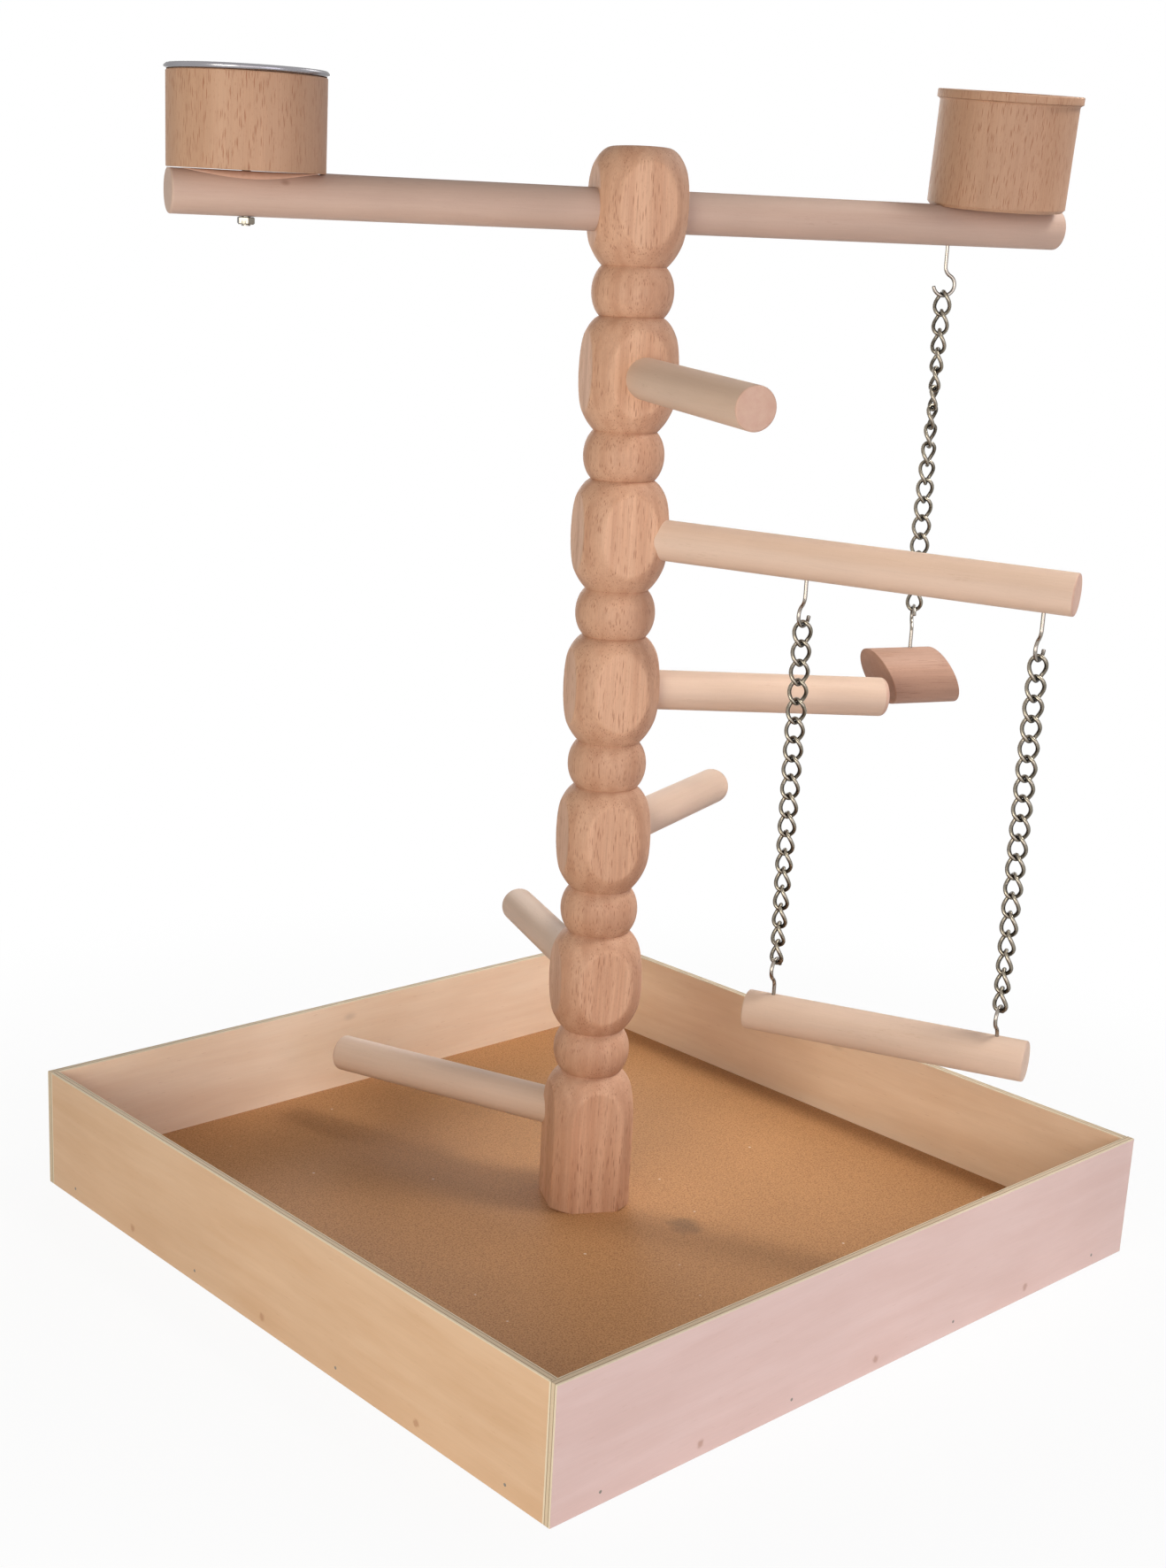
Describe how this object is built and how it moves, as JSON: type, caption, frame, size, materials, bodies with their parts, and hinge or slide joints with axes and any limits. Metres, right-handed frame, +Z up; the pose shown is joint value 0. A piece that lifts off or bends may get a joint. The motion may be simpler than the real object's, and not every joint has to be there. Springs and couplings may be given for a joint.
{
  "type": "parrot play stand",
  "caption": "Tabletop wooden play stand for a pet bird: square tray, turned post with radiating perches, a top bar with two cups, a chain swing and a hanging block toy",
  "frame": {"origin": "middle of the tray's underside, on the table, on the head of the post's screw", "axes": "+Z up along the post; +X and +Y along the tray's sides, X along the slightly longer side; the picture was taken from the -X, -Y corner"},
  "size_m": [0.4397, 0.417, 0.5928],
  "materials": {
    "turned_wood": "turned softwood, fine dark vertical grain, lightly sealed",
    "perch_wood": "pale birch dowel, sanded, bare",
    "cup_wood": "turned softwood, open grain, lightly sealed",
    "ply": "thin birch plywood, sanded faces, sawn edges",
    "hardboard": "brown hardboard-faced board, fine flecks, eggshell",
    "block_wood": "slanted dowel offcut, bare, sawn ends",
    "hook_steel": "bright nickel-plated round wire",
    "chain_steel": "nickel-plated twisted-link chain",
    "bowl_steel": "spun stainless steel, polished rolled rim",
    "screw_steel": "zinc-plated steel"
  },
  "bodies": {
    "stand": {"tray_board": "hardboard", "tray_wall_front": "ply", "tray_wall_back": "ply", "tray_wall_left": "ply", "tray_wall_right": "ply", "wall_nails": "screw_steel", "post": "turned_wood", "post_screw": "screw_steel", "top_bar": "perch_wood", "perch_2": "perch_wood", "perch_3": "perch_wood", "perch_4": "perch_wood", "perch_5": "perch_wood", "perch_6": "perch_wood", "perch_7": "perch_wood", "water_cup": "cup_wood", "water_cup_bolt": "screw_steel", "water_cup_nut": "screw_steel", "seed_cup": "cup_wood", "seed_cup_screw": "screw_steel", "swing_hook_inner": "hook_steel", "swing_hook_outer": "hook_steel", "toy_hook": "hook_steel"},
    "bowl": {"water_bowl": "bowl_steel"},
    "swing_top": {"swing_top_links": "chain_steel"},
    "chain_inner": {"swing_chain_inner": "chain_steel"},
    "chain_outer": {"swing_chain_outer": "chain_steel"},
    "swing": {"swing_perch": "perch_wood", "swing_perch_hook_inner": "hook_steel", "swing_perch_hook_outer": "hook_steel"},
    "toy_top": {"toy_top_link": "chain_steel"},
    "toy": {"toy_chain": "chain_steel", "toy_block_hook": "hook_steel", "toy_block": "block_wood"}
  },
  "joints": [
    {"name": "bowl_lift", "type": "slide", "parent": "stand", "child": "bowl", "axis": [-0.0268, -0.0429, 0.9987], "range_m": [0, 0.06]},
    {"name": "swing_sway", "type": "hinge", "parent": "stand", "child": "swing_top", "pos_m": [0.04037, -0.09103, 0.33535], "axis": [0.3985, -0.9165, -0.0349], "range_deg": [-38, 38]},
    {"name": "chain_inner_swing", "type": "hinge", "parent": "swing_top", "child": "chain_inner", "pos_m": [0.04037, -0.09103, 0.32375], "axis": [0.9171, 0.3987, 0], "range_deg": [-30, 16]},
    {"name": "chain_outer_swing", "type": "hinge", "parent": "swing_top", "child": "chain_outer", "pos_m": [0.0854, -0.1946, 0.31981], "axis": [0.9171, 0.3987, 0], "range_deg": [-30, 16]},
    {"name": "swing_level", "type": "hinge", "parent": "chain_inner", "child": "swing", "pos_m": [0.04037, -0.09103, 0.16466], "axis": [0.9171, 0.3987, 0], "range_deg": [-16, 30]},
    {"name": "toy_sway", "type": "hinge", "parent": "stand", "child": "toy_top", "pos_m": [0.16343, -0.06198, 0.48991], "axis": [0.7986, -0.6018, 0], "range_deg": [-1.5, 30]},
    {"name": "toy_swing", "type": "hinge", "parent": "toy_top", "child": "toy", "pos_m": [0.16343, -0.06198, 0.4825], "axis": [0.7524, 0.6587, 0], "range_deg": [-30, 30]}
  ],
  "couplings": [
    {"joint": "chain_outer_swing", "follows": "chain_inner_swing", "ratio": 1},
    {"joint": "swing_level", "follows": "chain_inner_swing", "ratio": -1}
  ]
}
